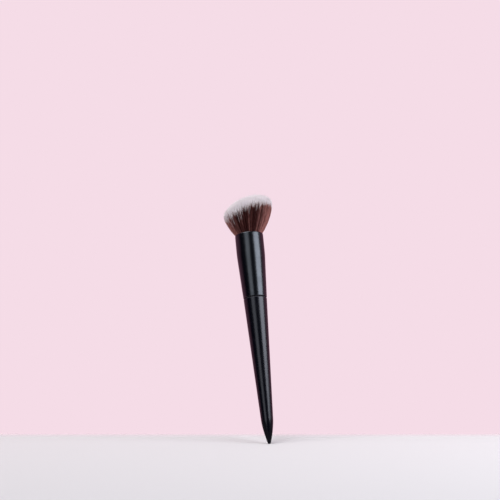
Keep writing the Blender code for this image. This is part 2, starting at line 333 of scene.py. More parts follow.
def ferrule_outline(ferrule):
    """The tube's section: down the outside, round the foot and up the bore."""
    side = ferrule_side(ferrule)
    foot = point(ferrule.foot_radius, FERRULE_LOW.z)
    bore_foot = point(ferrule.foot_radius - ferrule.wall, FERRULE_LOW.z)
    bore = [point(p.x - ferrule.wall, p.y) for p in reversed(side)]
    foot_edge = eased_corner(side[-1], foot, bore_foot, ferrule.foot_ease)
    return filled([*side, *foot_edge, bore_foot, *bore])


def lining_radius(ferrule, height):
    """Radius of what sits in the ferrule's bore at a height, with its seat gap."""
    return radius_at(ferrule_side(ferrule), height) - ferrule.wall - SEAT_GAP


def root_outline(tuft, ferrule):
    """The potted end of the tuft: collar, the waist that is tied, and the butt."""
    top, foot = FERRULE_HIGH.z - tuft.root_depth, ROOT_LOW.z
    collar_foot, butt_top = top - tuft.collar_length, foot + tuft.butt_length
    butt = lining_radius(ferrule, foot) - tuft.plug_wall - SEAT_GAP
    waist = butt - tuft.waist_depth
    return filled([
        point(0, top),
        point(lining_radius(ferrule, top), top),
        point(lining_radius(ferrule, collar_foot), collar_foot),
        point(waist, collar_foot),
        point(waist, butt_top),
        point(butt, butt_top),
        point(butt, foot),
        point(0, foot),
    ])


# Objects


def new_object(name, data):
    """An object in the scene, in place of an older one of this name."""
    old = bpy.data.objects.get(name)
    if old:
        bpy.data.objects.remove(old)
    thing = bpy.data.objects.new(name, data)
    bpy.context.scene.collection.objects.link(thing)
    return thing


def add_piece(name, mesh, material, slot, *nodes):
    """Adds a piece that rides on the brush and stands for these nodes. Its slot is not used."""
    mesh.materials.append(material)
    piece = new_object(name, mesh)
    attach(piece, BODY)
    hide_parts(*nodes)
    return piece


def turn(name, outline, material, slot, node, is_ring=False):
    """A turned piece from its outline, which is closed where the piece is a ring."""
    edges = [(i, i + 1) for i in range(len(outline) - 1)]
    if is_ring:
        edges.append((len(outline) - 1, 0))
    mesh = bpy.data.meshes.new(name)
    mesh.from_pydata([(p.x, 0, p.y) for p in outline], edges, [])
    piece = add_piece(name, mesh, material, slot, node)
    screw = piece.modifiers.new("turn", "SCREW")
    screw.axis = "Z"
    screw.steps = TURN_STEPS
    screw.render_steps = TURN_STEPS
    screw.use_merge_vertices = True
    screw.merge_threshold = MERGE_DISTANCE
    screw.use_smooth_shade = True


# Hairs


# A hair starts at a place in the unit disc and follows one flow to the dome. Its side is that
# place's X, from -1 at the low side of the tuft to 1 at the high side

# How far hairs and locks stand off an even spiral, in spacings, and how far out a hair may be
HAIR_JITTER = 0.35
LOCK_JITTER = 0.3
RIM_SHARE = 0.98

# How far tips stray sideways, in radii of the disc, and in length, in metres
LOCK_DRIFT = 0.01
HAIR_DRIFT = 0.016
LOCK_LENGTH = 0.00012
HAIR_LENGTH = 0.0007

# The share of hairs that fly away, how much wider they stray and how much longer they are
FLYAWAYS = 0.012
FLYAWAY_DRIFT = 3
FLYAWAY_LENGTH = 0.0006

# Height of a hair's waves, and how many radians of them it has
WAVE_HEIGHT = 0.00007
WAVE_TURN = 5

# How far along a hair its rings stand, and how full it is there; the last is its point
RING_SHARES = (0, 0.2, 0.4, 0.6, 0.78, 0.91, 1)
RING_FULLNESS = (1, 1, 1, 1, 0.95, 0.84, 0.55)
SIDES = 3


def spiral_places(number):
    """Even places in the unit disc, on a sunflower's spiral."""
    i = np.arange(number)
    radius, turn_angle = np.sqrt((i + 0.5) / number), i * GOLDEN_ANGLE
    return np.stack([radius * np.cos(turn_angle), radius * np.sin(turn_angle)], axis=-1)


def strayed_places(draw, number, jitter):
    """Such places, each off its spot by about this share of their spacing."""
    places = spiral_places(number)
    return places + draw.normal(0, jitter * math.sqrt(math.pi / number), places.shape)


def unit(vectors):
    return vectors / np.maximum(np.linalg.norm(vectors, axis=-1, keepdims=True), 1e-12)


def turned_about_y(points, radians):
    return points @ np.array(Matrix.Rotation(radians, 3, "Y")).T


def hair_tips(tuft, places):
    """Ends of the hairs with these places, on the slanted ellipsoid."""
    lean = places * (tuft.rim_side, tuft.rim_depth)
    polar = np.linalg.norm(lean, axis=-1, keepdims=True)
    ray = np.concatenate([unit(lean) * np.sin(polar), np.cos(polar)], axis=-1)
    half_sizes = (tuft.dome_half_width, tuft.dome_half_depth, tuft.dome_rise)
    on_dome = turned_about_y(ray, tuft.rim_turn) * half_sizes
    middle = (tuft.dome_shift, 0, FERRULE_HIGH.z + tuft.dome_height)
    return turned_about_y(on_dome, -tuft.dome_slant) + middle


def root_radius(tuft, ferrule):
    """Radius of the outermost hairs' roots, so that they clear the mouth as they flare."""
    bore = FERRULE_HIGH.x - ferrule.roll_in - ferrule.wall
    return bore - SEAT_GAP - tuft.root_depth * math.tan(tuft.flare)


def along_hairs(tuft, radius, places, shares):
    """Points of the hairs: each leaves the root at its flare and bends up to its tip."""
    root_height = FERRULE_HIGH.z - tuft.root_depth
    height = np.full((*places.shape[:-1], 1), root_height)
    roots = np.concatenate([places * radius, height], axis=-1)
    tips = hair_tips(tuft, places)
    flare = math.tan(tuft.flare)
    leaving = unit(np.concatenate([places * flare, np.ones_like(height)], axis=-1))
    reach = np.linalg.norm(tips - roots, axis=-1, keepdims=True) * tuft.bend_share
    bends = roots + leaving * reach
    lower = roots + (bends - roots) * shares
    upper = bends + (tips - bends) * shares
    return lower + (upper - lower) * shares, unit(tips - bends)


def grow_hairs(tuft, ferrule):
    """Middle lines of all the hairs, how long the white is at each one's tip, how pale it is below
    it, from its dye and from painted light on the tuft's sides, and how far the hair is turned."""
    draw = np.random.default_rng(tuft.seed)
    number = tuft.fibres
    places = strayed_places(draw, number, HAIR_JITTER)
    places /= np.maximum(np.linalg.norm(places, axis=-1, keepdims=True), 1) / RIM_SHARE
    locks = strayed_places(draw, tuft.clumps, LOCK_JITTER)
    lock = np.linalg.norm(places[:, None] - locks[None], axis=-1).argmin(axis=1)
    lock_drift = draw.normal(0, LOCK_DRIFT, locks.shape)[lock]
    lock_length = draw.normal(0, LOCK_LENGTH, tuft.clumps)[lock]
    lock_white = draw.normal(0, LOCK_WHITE, tuft.clumps)[lock]
    lock_tint = draw.normal(0, LOCK_TINT, tuft.clumps)[lock]

    drift = lock_drift + draw.normal(0, HAIR_DRIFT, (number, 2))
    flyaways = draw.random(number) < FLYAWAYS
    drift[flyaways] *= FLYAWAY_DRIFT
    longer = lock_length + draw.normal(0, HAIR_LENGTH, number)
    longer[flyaways] += FLYAWAY_LENGTH

    shares = np.array(RING_SHARES)[None, :, None]
    pull = tuft.clump_pull * shares**2
    flow = places[:, None] + (locks[lock] - places)[:, None] * pull + drift[:, None] * shares
    lines, outward = along_hairs(tuft, root_radius(tuft, ferrule), flow, shares)
    lines = lines + outward * longer[:, None, None] * shares**2
    wave = draw.normal(0, WAVE_HEIGHT, (number, 1, 3))
    phase = draw.uniform(0, 2 * math.pi, (number, 1, 1))
    lines = lines + wave * np.sin(phase + WAVE_TURN * shares) * shares
    embedded = lines[:, :1] - (0, 0, tuft.embedded)
    lines = np.concatenate([embedded, lines], axis=1)

    white, tint = dye_hairs_and_paint_side_light(tuft, draw, places, lock_white, lock_tint)
    return lines, white, tint, draw.uniform(0, 2 * math.pi, number)


# The white's length, in metres: less at both sides and in a dip, and more at the crown, which
# starts at this square of a place's radius
WHITE_SIDES = 0.0014
WHITE_DIP = 0.001
DIP_SIDE = 0.26
DIP_WIDTH = 0.2
WHITE_CROWN = 0.009
CROWN_START = 0.72

# How ragged its edge is, in metres: among locks, among hairs, and how much less per side
LOCK_WHITE = 0.0002
HAIR_WHITE = 0.0012
HAIR_WHITE_SLOPE = 0.0008

# The share of hairs that took little dye, how much it falls per side, how much longer their
# white is, and how pale they are. Then the draws above which hairs are dyed further up, and
# how much of their white is left
WEAK_SHARE = 0.075
WEAK_SLOPE = 0.07
WEAK_WHITE = (1.1, 1.7)
WEAK_TINT = (0.1, 0.6)
DEEP_FROM = 0.93
DEEP_WHITE = (0.5, 0.85)

# Painted light: how much paler the hairs are painted in the middle, at the high side and at the low
# side, where light catches the tuft's flanks, with the powers of the side that the last two grow by
SIDE_LIGHT_MIDDLE = 0.008
SIDE_LIGHT_HIGH = 1.05
SIDE_LIGHT_LOW = 1.2
HIGH_POWER = 2
LOW_POWER = 5

# How the dye varies among locks, hairs and streaks, how pale the strays of the paler streaks
# are, and how much these vary
LOCK_TINT = 0.45
HAIR_TINT = 0.35
STREAK_TINT = 0.3
STRAY_TINT = 0.08
STRAY_SPREAD = 0.6


def dye_hairs_and_paint_side_light(tuft, draw, places, lock_white, lock_tint):
    """How long the white is at each hair's tip, and how pale it is below it: its dye, and painted
    light that makes the tuft's sides paler.
    """
    number, side = len(places), places[:, 0]
    white = tuft.white_reach - WHITE_SIDES * side**2
    white = white - WHITE_DIP * np.exp(-(((side - DIP_SIDE) / DIP_WIDTH) ** 2))
    white = white + WHITE_CROWN * np.maximum(CROWN_START - np.sum(places**2, axis=1), 0)
    ragged = HAIR_WHITE - HAIR_WHITE_SLOPE * side
    white = white + lock_white + ragged * draw.normal(0, 1, number)

    bearing = np.arctan2(places[:, 1], side) / (2 * math.pi)
    streak = np.floor((bearing + 0.5) * tuft.sectors).astype(int) % tuft.sectors
    streak_tint = draw.normal(0, 1, tuft.sectors)[streak]
    odd = draw.random(number)
    is_weak = odd < WEAK_SHARE - WEAK_SLOPE * side
    white = np.where(is_weak, white * draw.uniform(*WEAK_WHITE, number), white)
    white = np.where(odd > DEEP_FROM, white * draw.uniform(*DEEP_WHITE, number), white)

    # Painted light and shade: hairs are paler towards both sides, where light catches the tuft's
    # flanks, and darkest in the middle, which lies in shade
    off_middle = np.abs(side)
    high, low = SIDE_LIGHT_HIGH * off_middle**HIGH_POWER, SIDE_LIGHT_LOW * off_middle**LOW_POWER
    paler = SIDE_LIGHT_MIDDLE + np.where(side > 0, high, low)
    uneven = 1 + lock_tint + draw.normal(0, HAIR_TINT, number)
    stray = np.maximum(streak_tint + draw.normal(0, STRAY_SPREAD, number), 0)
    uneven = uneven * (1 + STREAK_TINT * streak_tint)
    tint = np.clip(paler * uneven + STRAY_TINT * stray, 0, 1)
    weak_tint = np.maximum(tint, draw.uniform(*WEAK_TINT, number))
    return white, np.where(is_weak, weak_tint, tint)


def ring_steps(rings):
    """Ring and step round the hair of each of its side faces."""
    ring, step = np.meshgrid(np.arange(rings - 1), np.arange(SIDES), indexing="ij")
    return ring.ravel(), step.ravel()


def hair_mesh(name, lines, white, tint, twist, fibre_radius):
    """One closed, three-sided, tapering hair round each line, as one mesh."""
    number, rings = lines.shape[0], lines.shape[1] - 1
    along = unit(np.gradient(lines, axis=1))[:, :rings]
    # No hair runs along this direction
    guide = (0, 1, 0.3)
    across = unit(np.cross(along, guide))
    beside = np.cross(along, across)
    corner = twist[:, None] + 2 * math.pi * np.arange(SIDES) / SIDES
    fullness = fibre_radius * np.array(RING_FULLNESS)[None, :, None, None]
    around = (
        np.cos(corner)[:, None, :, None] * across[:, :, None]
        + np.sin(corner)[:, None, :, None] * beside[:, :, None]
    )
    skin = (lines[:, :rings, None] + around * fullness).reshape(number, -1, 3)
    vertices = np.concatenate([skin, lines[:, -1:]], axis=1)

    ring, step = ring_steps(rings)
    after = (step + 1) % SIDES
    low, high = ring * SIDES, (ring + 1) * SIDES
    quads = np.stack([low + step, low + after, high + after, high + step], axis=-1)
    step = np.arange(SIDES)
    last = (rings - 1) * SIDES
    point_index = rings * SIDES
    tips = np.stack([last + step, last + (step + 1) % SIDES, step * 0 + point_index], axis=-1)
    triangles = np.concatenate([tips, [[2, 1, 0]]])

    corners = point_index + 1
    first = np.arange(number)[:, None, None] * corners
    faces = (quads + first).reshape(-1, 4).tolist() + (triangles + first).reshape(-1, 3).tolist()
    mesh = bpy.data.meshes.new(name)
    mesh.from_pydata(vertices.reshape(-1, 3), [], faces)
    mesh.shade_smooth()

    steps = np.linalg.norm(np.diff(lines, axis=1), axis=-1)
    from_tip = np.cumsum(steps[:, ::-1], axis=1)[:, ::-1]
    from_tip = np.concatenate([np.repeat(from_tip, SIDES, axis=1), np.zeros((number, 1))], axis=1)
    for attribute, values in (
        ("from_tip", from_tip.ravel()),
        ("white_reach", np.repeat(white, corners)),
        ("dye_and_side_light_tint", np.repeat(tint, corners)),
    ):
        layer = mesh.attributes.new(attribute, "FLOAT", "POINT")
        layer.data.foreach_set("value", values.astype(np.float32))
    add_strip_map(mesh, number, rings)
    return mesh


# The map's rows of hairs, the share of a strip that the closed root takes, and the strips' gaps
MAP_ROWS = 12
CAP_SHARE = 0.04
CELL_MARGIN = 0.12


def add_strip_map(mesh, number, rings):
    """A UV map with an upright strip for each hair, its root down and its point up."""

    def height_in_strip(ring):
        return CAP_SHARE + (1 - CAP_SHARE) * ring / rings

    ring, step = ring_steps(rings)
    low, high, last = (height_in_strip(r) for r in (ring, ring + 1, rings - 1))
    quads = np.stack([step, low, step + 1, low, step + 1, high, step, high], axis=-1)
    tips = [(s, last, s + 1, last, s + 0.5, 1) for s in range(SIDES)]
    cap = [(1, 0, SIDES, 0, SIDES, CAP_SHARE / 2)]
    triangles = np.array(tips + cap, float)
    columns = math.ceil(number / MAP_ROWS)
    hair = np.arange(number)[:, None]
    cell = np.stack([hair % columns, hair // columns], axis=-1)
    parts = []
    for corners in (quads, triangles):
        inside = CELL_MARGIN / 2 + corners.reshape(-1, 2) / (SIDES, 1) * (1 - CELL_MARGIN)
        parts.append(((cell + inside[None]) / (columns, MAP_ROWS)).reshape(-1, 2))
    layer = mesh.uv_layers.new(name="OFBake")
    layer.data.foreach_set("uv", np.concatenate(parts).astype(np.float32).ravel())


# Materials


def set_inputs(node, inputs):
    """Sets inputs, named in a dict or in order in a list, to values, outputs or other nodes,
    of which the first output is taken."""
    pairs = inputs.items() if isinstance(inputs, dict) else enumerate(inputs)
    for name, value in pairs:
        if isinstance(value, bpy.types.Node):
            value = value.outputs[0]
        if isinstance(value, bpy.types.NodeSocket):
            node.id_data.links.new(value, node.inputs[name])
        else:
            node.inputs[name].default_value = value


def add_node(tree, kind, inputs=(), **settings):
    """Adds a shader node of this kind with its settings and inputs."""
    node = tree.nodes.new("ShaderNode" + kind)
    for name, value in settings.items():
        setattr(node, name, value)
    set_inputs(node, inputs)
    return node


def new_material(name):
    """A new material, what adds a node to it, its shader, and the place on the piece."""
    old = bpy.data.materials.get(name)
    if old:
        bpy.data.materials.remove(old)
    material = bpy.data.materials.new(name)
    material.use_nodes = True
    add = functools.partial(add_node, material.node_tree)
    shader = material.node_tree.nodes["Principled BSDF"]
    return material, add, shader, add("TexCoord").outputs["Object"]


def per_metre(size):
    """Pattern scale at which one of its cells is this many metres across."""
    return 1 / size


# Lacquer, in metres: the patterns' cells, how far under the joint's edge it is worn and has a
# painted highlight line, how far above the tip it is worn, and how deep into the joint the spray
# reaches
ORANGE_PEEL = 0.0011
LACQUER_CLOUD = 0.009
RUB_MARK = 0.0012
DUST_SPACING = 0.0035
HIGHLIGHT_AND_RUB_EDGE = 0.0005
HIGHLIGHT_AND_RUB_EDGE_END = 0.0001
RUBBED_TIP = 0.0012
SPRAY_REACH = 0.00005


def satin_lacquer(handle):
    """Black nitrocellulose lacquer, sprayed over turned and sealed wood, then cut back by rubbing
    to satin.
    The eye gets a deep black with soft-edged highlights, a faint orange peel in them, a greyer,
    drier film at the tip, where hands and tables rub, and a paler line at the joint's edge: partly
    that wear, partly a painted highlight."""
    material, add, shader, where = new_material("satin_black_lacquer_sprayed_on_wood")
    height = add("SeparateXYZ", {"Vector": where}).outputs["Z"]
    edge = handle.joint_height - handle.joint_step
    edge_band = {"From Min": edge - HIGHLIGHT_AND_RUB_EDGE, "From Max": edge - HIGHLIGHT_AND_RUB_EDGE_END, "To Max": 0.9}
    near_joint = add("MapRange", {"Value": height, **edge_band})
    in_joint = add("MapRange", {"Value": height, "From Min": edge, "From Max": edge + SPRAY_REACH})
    near_tip = add(
        "MapRange", {"Value": height, "From Min": RUBBED_TIP, "From Max": 0, "To Max": 0.3}
    )
    rub_and_highlight_places = add("Math", [near_joint, near_tip], operation="MAXIMUM")
    rub_marks = add("TexNoise", {"Vector": where, "Scale": per_metre(RUB_MARK), "Detail": 4})
    marked = add("Math", [rub_and_highlight_places, rub_marks], operation="MULTIPLY")
    rub_and_edge_highlight = add("Math", [marked, in_joint], operation="SUBTRACT", use_clamp=True)
    clouds = add("TexNoise", {"Vector": where, "Scale": per_metre(LACQUER_CLOUD), "Detail": 3})
    film = add("MapRange", {"Value": clouds, "From Min": 0.3, "From Max": 0.75, "To Max": 0.22})
    black = add("MixRGB", [film, handle.lacquer, handle.lacquer_thin])
    # Painted highlight: the paler grey just under the joint's edge stands in for the bright line
    # that the rounded edge catches, on top of wear there; at the tip it is wear only
    paint = add("MixRGB", [rub_and_edge_highlight, black, handle.lacquer_rubbed_and_highlight])
    thin = add("Math", [film, rub_and_edge_highlight], operation="ADD")
    satin = handle.sheen_roughness
    rubbing = add("MapRange", {"Value": thin, "To Min": satin - 0.02, "To Max": satin + 0.16})
    # The spray hardly reaches into the joint, so the wood stays dry and dark there
    dryness = add("Math", [in_joint, 0.6, rubbing], operation="MULTIPLY_ADD")
    orange_peel = add("TexNoise", {"Vector": where, "Scale": per_metre(ORANGE_PEEL), "Detail": 1.5})
    dust = add("TexVoronoi", {"Vector": where, "Scale": per_metre(DUST_SPACING)})
    nibs = add("MapRange", {"Value": dust, "From Min": 0.05, "From Max": 0, "To Max": 0.6})
    surface = add("Math", [orange_peel, nibs], operation="ADD")
    bump = add("Bump", {"Height": surface, "Strength": 0.12, "Distance": 0.00003})
    set_inputs(shader, {"Base Color": paint, "Roughness": dryness, "Normal": bump, "IOR": 1.5})
    set_inputs(shader, {"Specular IOR Level": 0.5, "Specular Tint": linear("#f4f4ff")})
    return material


# Anodised tube, in metres. Glass beads leave dents of about 0.08 mm, drawn coarser to show.
# From the worn to the bare distance from each end, the oxide thins
BLASTED_DENT = 0.0002
DYE_CLOUD = 0.005
WORN_MARK = 0.0008
WORN_END = 0.0004
BARE_END = 0.0001


def anodised_aluminium(ferrule):
    """Aluminium tube, drawn and tapered, bead-blasted, then anodised and dyed black.
    The eye gets a near-black metal with a tighter, cooler highlight than the lacquer, a very
    fine blasted grain in it, and a paler line round both ends, where the oxide is thin."""
    material, add, shader, where = new_material("black_anodised_bead_blasted_aluminium")
    height = add("SeparateXYZ", {"Vector": where}).outputs["Z"]
    middle = (FERRULE_LOW.z + FERRULE_HIGH.z) / 2
    half = FERRULE_HIGH.z - middle
    from_middle = add("Math", [height, middle], operation="SUBTRACT")
    distance = add("Math", [from_middle], operation="ABSOLUTE")
    lip = add(
        "MapRange", {"Value": distance, "From Min": half - WORN_END, "From Max": half - BARE_END}
    )
    worn_marks = add("TexNoise", {"Vector": where, "Scale": per_metre(WORN_MARK), "Detail": 3})
    worn_lip = add("Math", [lip, worn_marks], operation="MULTIPLY")
    dye_clouds = add("TexNoise", {"Vector": where, "Scale": per_metre(DYE_CLOUD), "Detail": 3})
    dye = add("MapRange", {"Value": dye_clouds, "From Min": 0.3, "From Max": 0.7, "To Max": 0.05})
    thin = add("Math", [dye, worn_lip], operation="ADD")
    metal = add("MixRGB", [thin, ferrule.anodised, ferrule.worn])
    dents = add("TexVoronoi", {"Vector": where, "Scale": per_metre(BLASTED_DENT)})
    satin = ferrule.sheen_roughness
    grain = add("MapRange", {"Value": dents, "To Min": satin + 0.03, "To Max": satin - 0.02})
    bump = add("Bump", {"Height": dents, "Strength": 0.12, "Distance": 0.00001})
    set_inputs(shader, {"Base Color": metal, "Roughness": grain, "Normal": bump, "Metallic": 1})
    return material


# The filament: its refraction, its streaks in metres, and a scale that draws them out along Z
PBT_IOR = 1.54
HAIR_STREAK = 0.0008
STREAK_STRETCH = (1, 1, 0.15)

# Where each step of the change to white starts, from the white's reach, in fades, and how long
# it is: the dye runs thin first, then out
THIN_START = -0.5
WHITE_START = -0.2
STEP_SHARE = 0.7


def two_tone_hair(tuft):
    """Synthetic filament (PBT), extruded, tapered, dyed brown and left white at the tips.
    The eye gets dark red-brown hairs that differ a little in dye, alone and in streaks, with
    painted light that makes them paler towards the tuft's sides, and a soft, ragged change through
    a thinner brown to white."""
    material, add, shader, where = new_material("dyed_pbt_filament_with_white_tips")
    from_tip, reach, tint = (
        add("Attribute", attribute_name=name).outputs["Fac"]
        for name in ("from_tip", "white_reach", "dye_and_side_light_tint")
    )
    beyond = add("Math", [reach, from_tip], operation="SUBTRACT")
    fade = tuft.white_fade
    thinness, whiteness = (
        add(
            "MapRange",
            {"Value": beyond, "From Min": start * fade, "From Max": (start + STEP_SHARE) * fade},
            interpolation_type="SMOOTHSTEP",
        )
        for start in (THIN_START, WHITE_START)
    )
    stretched = add("VectorMath", [where, STREAK_STRETCH], operation="MULTIPLY")
    streaks = add("TexNoise", {"Vector": stretched, "Scale": per_metre(HAIR_STREAK), "Detail": 2})
    streak = add(
        "MapRange",
        {"Value": streaks, "From Min": 0.3, "From Max": 0.7, "To Min": 0.5, "To Max": 1.4},
    )
    uneven = add("Math", [tint, streak], operation="MULTIPLY", use_clamp=True)
    # The tint is partly dye and partly painted light that makes the tuft's sides paler; it also
    # dulls the white a little there
    dyed = add("MixRGB", [uneven, tuft.brown, tuft.brown_light])
    thinly_dyed = add("MixRGB", [thinness, dyed, tuft.brown_thin])
    undyed = add("MixRGB", [tint, tuft.white, tuft.white_dull])
    filament = add("MixRGB", [whiteness, thinly_dyed, undyed])
    gloss = add("MapRange", {"Value": whiteness, "To Min": 0.42, "To Max": 0.6})
    set_inputs(shader, {"Base Color": filament, "Roughness": gloss})
    set_inputs(shader, {"IOR": PBT_IOR, "Specular IOR Level": 0.03})
    return material


def potted_hair(tuft):
    """The same filament, packed and soaked in resin: dark, with round ends of hairs in it."""
    material, add, shader, where = new_material("filament_roots_potted_in_resin")
    end_size = 2 * tuft.fibre_radius
    ends = add("TexVoronoi", {"Vector": where, "Scale": per_metre(end_size)})
    packed = add("MixRGB", [ends, tuft.brown, linear("#140809")])
    gloss = add("MapRange", {"Value": ends, "To Min": 0.4, "To Max": 0.65})
    bump = add("Bump", {"Height": ends, "Strength": 0.5, "Distance": 0.00005})
    set_inputs(shader, {"Base Color": packed, "Roughness": gloss, "Normal": bump, "IOR": PBT_IOR})
    return material


# Cells of the patterns inside the ferrule, in metres: bubbles and clouds in the resin, streaks
# in the glue, and the thread's fuzz and plies, which cross it once in this length. A diagonal
# wave turns by 10 radians along each axis, so at this scale it repeats once in a unit
BUBBLE_SPACING = 0.0009
RESIN_CLOUD = 0.004
GLUE_STREAK = 0.0012
GLUE_STRETCH = (1, 1, 0.25)
FUZZ = 0.00015
PLY_STEP = 0.00035
DIAGONAL_WAVE = 2 * math.pi / (10 * math.sqrt(3))


def cast_epoxy(inside):
    """Epoxy poured round the tied roots: amber, glossy, with a few small bubbles."""
    material, add, shader, where = new_material("cast_amber_epoxy")
    bubbles = add("TexVoronoi", {"Vector": where, "Scale": per_metre(BUBBLE_SPACING)})
    bubble = add("MapRange", {"Value": bubbles, "From Min": 0.22, "From Max": 0.12})
    clouds = add("TexNoise", {"Vector": where, "Scale": per_metre(RESIN_CLOUD), "Detail": 3})
    amber = add("MixRGB", [clouds, inside.resin, linear("#7d5222")])
    poured = add("MixRGB", [bubble, amber, linear("#e2c48c")])
    gloss = add("MapRange", {"Value": bubble, "To Min": 0.14, "To Max": 0.35})
    bump = add("Bump", {"Height": bubble, "Strength": 0.4, "Distance": 0.00008}, invert=True)
    set_inputs(shader, {"Base Color": poured, "Roughness": gloss, "Normal": bump, "IOR": 1.55})
    set_inputs(shader, {"Subsurface Weight": 0.3, "Subsurface Scale": 0.0008})
    return material


def wood_glue(inside):
    """Cured wood glue, squeezed out as the tenon went in: matt, yellowish and streaky."""
    material, add, shader, where = new_material("cured_wood_glue")
    stretched = add("VectorMath", [where, GLUE_STRETCH], operation="MULTIPLY")
    streaks = add("TexNoise", {"Vector": stretched, "Scale": per_metre(GLUE_STREAK), "Detail": 5})
    film = add("MixRGB", [streaks, inside.glue, linear("#8f7a4c")])
    dryness = add("MapRange", {"Value": streaks, "To Min": 0.45, "To Max": 0.7})
    bump = add("Bump", {"Height": streaks, "Strength": 0.4, "Distance": 0.00006})
    set_inputs(shader, {"Base Color": film, "Roughness": dryness, "Normal": bump, "IOR": 1.48})
    return material


def waxed_cotton(inside):
    """Three-ply cotton thread drawn through wax: soft sheen, with the plies' slanting ridges and
    painted shade in the grooves between them.
    """
    material, add, shader, where = new_material("waxed_three_ply_cotton")
    ply_scale = per_metre(PLY_STEP) * DIAGONAL_WAVE
    plies = add(
        "TexWave",
        {"Vector": where, "Scale": ply_scale, "Distortion": 1.5, "Detail": 2},
        bands_direction="DIAGONAL",
    ).outputs["Fac"]
    fuzz = add("TexNoise", {"Vector": where, "Scale": per_metre(FUZZ), "Detail": 3})
    # Painted shade: darker where the plies' wave lies low, in the grooves, and lighter on the
    # ridges
    cotton = add("MixRGB", [plies, linear("#a3946f"), inside.thread])
    dryness = add("MapRange", {"Value": fuzz, "To Min": 0.55, "To Max": 0.85})
    bump = add("Bump", {"Height": plies, "Strength": 0.6, "Distance": 0.00005})
    set_inputs(shader, {"Base Color": cotton, "Roughness": dryness, "Normal": bump})
    set_inputs(shader, {"Sheen Weight": 0.3})
    return material


# The floor, in metres: a disc, its middle this far in front of the tip. Painted light: its colour
# turns paler along the sweep, which ends at the tip, to make up for the lamps' light falling off
# towards the back. It fades out from its solid part to its rim, and between two distances behind
# the tip
FLOOR_MIDDLE = 0.25
FLOOR_SWEEP = 0.2
FLOOR_SOLID = 0.36
FLOOR_RADIUS = 0.5
FLOOR_BACK = 0.03
FLOOR_END = 0.05
PAPER_TOOTH = 0.0015


def floor_paper(studio):
    """Matt paper sweep, painted paler towards the back, where the lamps' light falls off, so that
    the light looks even on it.
    It fades into the backdrop behind the brush, and isn't seen from below."""
    material, add, shader, where = new_material("matt_paper_sweep")
    tooth = add("TexNoise", {"Vector": where, "Scale": per_metre(PAPER_TOOTH), "Detail": 3})
    from_middle = add("VectorMath", [where], operation="LENGTH").outputs["Value"]
    away = add("SeparateXYZ", {"Vector": where}).outputs["Y"]
    to_back = add(
        "MapRange",
        {"Value": away, "From Min": FLOOR_MIDDLE - FLOOR_SWEEP, "From Max": FLOOR_MIDDLE},
    )
    # Painted light: paler towards the back, to make up for the lamps' light falling off there
    sweep = add("MixRGB", [to_back, studio.floor, studio.floor_back])
    grain = add("MapRange", {"Value": tooth, "To Min": 0.98, "To Max": 1})
    paper = add("VectorMath", {"Vector": sweep, "Scale": grain}, operation="SCALE")
    # Glossy things mirror the paper as grey, as if a dark card lay in front, out of sight
    mirrored = add("LightPath").outputs["Is Glossy Ray"]
    seen = add("MixRGB", [mirrored, paper, linear("#5e5d60")])
    set_inputs(shader, {"Base Color": seen, "Roughness": 0.85})
    rim, back = (
        add(
            "MapRange",
            {"Value": distance, "From Min": start, "From Max": end},
            interpolation_type="SMOOTHSTEP",
        )
        for distance, start, end in (
            (from_middle, FLOOR_SOLID, FLOOR_RADIUS),
            (away, FLOOR_MIDDLE + FLOOR_BACK, FLOOR_MIDDLE + FLOOR_END),
        )
    )
    faded = add("Math", [rim, back], operation="MAXIMUM")
    below = add("NewGeometry").outputs["Backfacing"]
    gone = add("Math", [faded, below], operation="MAXIMUM")
    clear = add("BsdfTransparent")
    mixed = add("MixShader", [gone, shader, clear])
    set_inputs(material.node_tree.nodes["Material Output"], {"Surface": mixed})
    return material


# Studio

# Edges round the disc of floor
FLOOR_STEPS = 96

# The point of the brush that the lamps are aimed at, in the room
TARGET = Vector((-0.008, 0.02, 0.1))

# Soft lamps: colour, width and height in metres, degrees round to the right from the camera's
# side and up from the floor, and metres from the brush
SOFTBOXES = {
    "key_softbox": ("#f4f9ff", 0.6, 0.41, 63, 27, 0.75),
    "fill_strip": ("#f6fbff", 0.4, 0.62, -28, 24, 0.75),
    "top_softbox": ("#ffffff", 0.7, 0.7, -55, 62, 0.95),
}


def add_stage_object(name, data, matrix):
    """Adds a lamp, camera or stage piece at this place in the room."""
    thing = new_object(name, data)
    thing.matrix_world = PART_FROM_ROOM @ matrix
    return thing


def add_floor(studio):
    """A disc of paper under the tip, its middle towards the camera."""
    up = (PART_FROM_ROOM @ Vector((0, 0, 1, 0))).to_3d()
    lowest = min(up.dot(vertex.co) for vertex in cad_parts["handle"].data.vertices)
    rim = []
    for i in range(FLOOR_STEPS):
        turned = 2 * math.pi * i / FLOOR_STEPS
        rim.append((FLOOR_RADIUS * math.cos(turned), FLOOR_RADIUS * math.sin(turned), 0))
    mesh = bpy.data.meshes.new("floor")
    mesh.from_pydata(rim, [], [range(FLOOR_STEPS)])
    mesh.materials.append(floor_paper(studio))
    place = Matrix.Translation((0, -FLOOR_MIDDLE, lowest))
    add_stage_object("floor", mesh, place)


def add_softbox(name, power, colour_hex, width, height, around_deg, up_deg, distance):
    """A soft lamp aimed at the brush, out of the camera's sight."""
    lamp = bpy.data.lights.new(name, "AREA")
    lamp.shape = "RECTANGLE"
    lamp.size = width
    lamp.size_y = height
    lamp.energy = power
    lamp.color = linear(colour_hex)[:3]
    around, up = math.radians(around_deg), math.radians(up_deg)
    toward_lamp = Vector(
        (math.sin(around) * math.cos(up), -math.cos(around) * math.cos(up), math.sin(up))
    )
    turned = toward_lamp.to_track_quat("Z", "Y").to_matrix().to_4x4()
    place = Matrix.Translation(TARGET + toward_lamp * distance) @ turned
    add_stage_object(name, lamp, place).visible_camera = False


